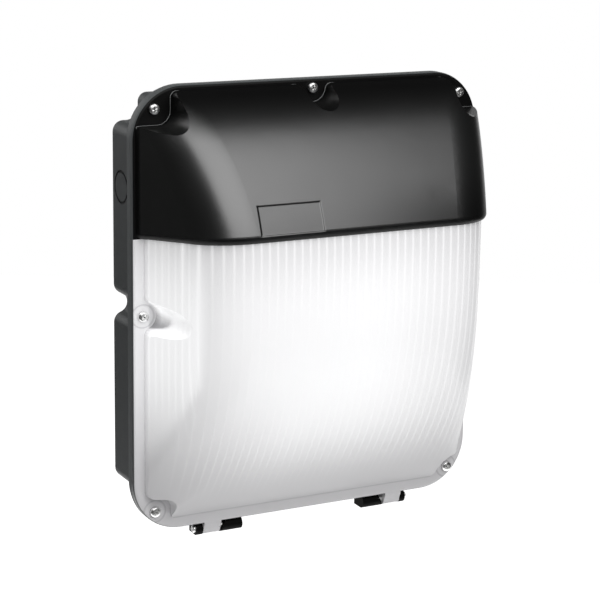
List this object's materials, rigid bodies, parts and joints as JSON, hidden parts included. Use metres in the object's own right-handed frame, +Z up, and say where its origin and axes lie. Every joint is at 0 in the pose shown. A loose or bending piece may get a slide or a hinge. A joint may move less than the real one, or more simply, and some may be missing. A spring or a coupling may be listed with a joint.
{
  "type": "wall pack light",
  "caption": "Rectangular outdoor wall pack light: charcoal housing, domed ribbed opal lens, black half hood, cover hinged at the bottom and held by captive rim screws.",
  "frame": {"origin": "middle of the rear face of the housing, which lies flat on the wall", "axes": "+Z up, +Y into the wall, front faces -Y, +X to the viewer's right"},
  "size_m": [0.284, 0.1261, 0.3401],
  "materials": {
    "housing_plastic": "charcoal fine-textured polycarbonate",
    "hood_plastic": "black satin moulded plastic",
    "black_hinge_plastic": "black moulded nylon",
    "opal_lens": "clear-to-opal polycarbonate, ribbed inside",
    "silicone_seal": "grey silicone",
    "black_rubber": "black rubber",
    "brass_insert": "turned brass",
    "bright_steel": "bright stainless steel",
    "zinc_screw": "zinc-plated steel",
    "white_tray_paint": "white powder coat",
    "white_board": "white solder mask on an aluminium-backed board",
    "chip_phosphor": "yellow phosphor in a white package",
    "connector_plastic": "ivory nylon",
    "driver_case": "white driver case",
    "terminal_plastic": "ivory polyamide",
    "lead_sleeve": "lead insulation",
    "earth_sleeve": "green and yellow lead insulation"
  },
  "bodies": {
    "housing": {"housing": "housing_plastic", "cover_gasket": "silicone_seal", "screw_inserts": "brass_insert", "hinge_bracket_left": "black_hinge_plastic", "hinge_bracket_right": "black_hinge_plastic", "hinge_bracket_screws": "zinc_screw", "hinge_pin_left": "bright_steel", "hinge_pin_right": "bright_steel", "gear_tray": "white_tray_paint", "tray_screws": "zinc_screw", "tray_grommet": "black_rubber", "led_board": "white_board", "led_chips": "chip_phosphor", "board_screws": "zinc_screw", "board_connector": "connector_plastic", "led_driver": "driver_case", "driver_screws": "zinc_screw", "terminal_block": "terminal_plastic", "terminal_screws": "brass_insert", "earth_stud": "brass_insert", "input_leads": "lead_sleeve", "earth_lead": "earth_sleeve", "led_leads": "lead_sleeve", "entry_grommet": "black_rubber", "wall_seals": "black_rubber"},
    "cover": {"lens": "opal_lens", "hood": "hood_plastic", "screw_seals": "silicone_seal"},
    "screw_top_left": {"cover_screw_top_left": "bright_steel"},
    "screw_top_middle": {"cover_screw_top_middle": "bright_steel"},
    "screw_top_right": {"cover_screw_top_right": "bright_steel"},
    "screw_side_left": {"cover_screw_side_left": "bright_steel"},
    "screw_side_right": {"cover_screw_side_right": "bright_steel"},
    "screw_bottom_left": {"cover_screw_bottom_left": "bright_steel"},
    "screw_bottom_right": {"cover_screw_bottom_right": "bright_steel"}
  },
  "joints": [
    {"name": "cover_hinge", "type": "hinge", "parent": "housing", "child": "cover", "pos_m": [0, -0.042, -0.1703], "axis": [1, 0, 0], "range_deg": [0, 160]},
    {"name": "screw_top_left_draw", "type": "slide", "parent": "cover", "child": "screw_top_left", "axis": [0, -1, 0], "range_m": [0, 0.007]},
    {"name": "screw_top_middle_draw", "type": "slide", "parent": "cover", "child": "screw_top_middle", "axis": [0, -1, 0], "range_m": [0, 0.007]},
    {"name": "screw_top_right_draw", "type": "slide", "parent": "cover", "child": "screw_top_right", "axis": [0, -1, 0], "range_m": [0, 0.007]},
    {"name": "screw_side_left_draw", "type": "slide", "parent": "cover", "child": "screw_side_left", "axis": [0, -1, 0], "range_m": [0, 0.007]},
    {"name": "screw_side_right_draw", "type": "slide", "parent": "cover", "child": "screw_side_right", "axis": [0, -1, 0], "range_m": [0, 0.007]},
    {"name": "screw_bottom_left_draw", "type": "slide", "parent": "cover", "child": "screw_bottom_left", "axis": [0, -1, 0], "range_m": [0, 0.007]},
    {"name": "screw_bottom_right_draw", "type": "slide", "parent": "cover", "child": "screw_bottom_right", "axis": [0, -1, 0], "range_m": [0, 0.007]}
  ]
}
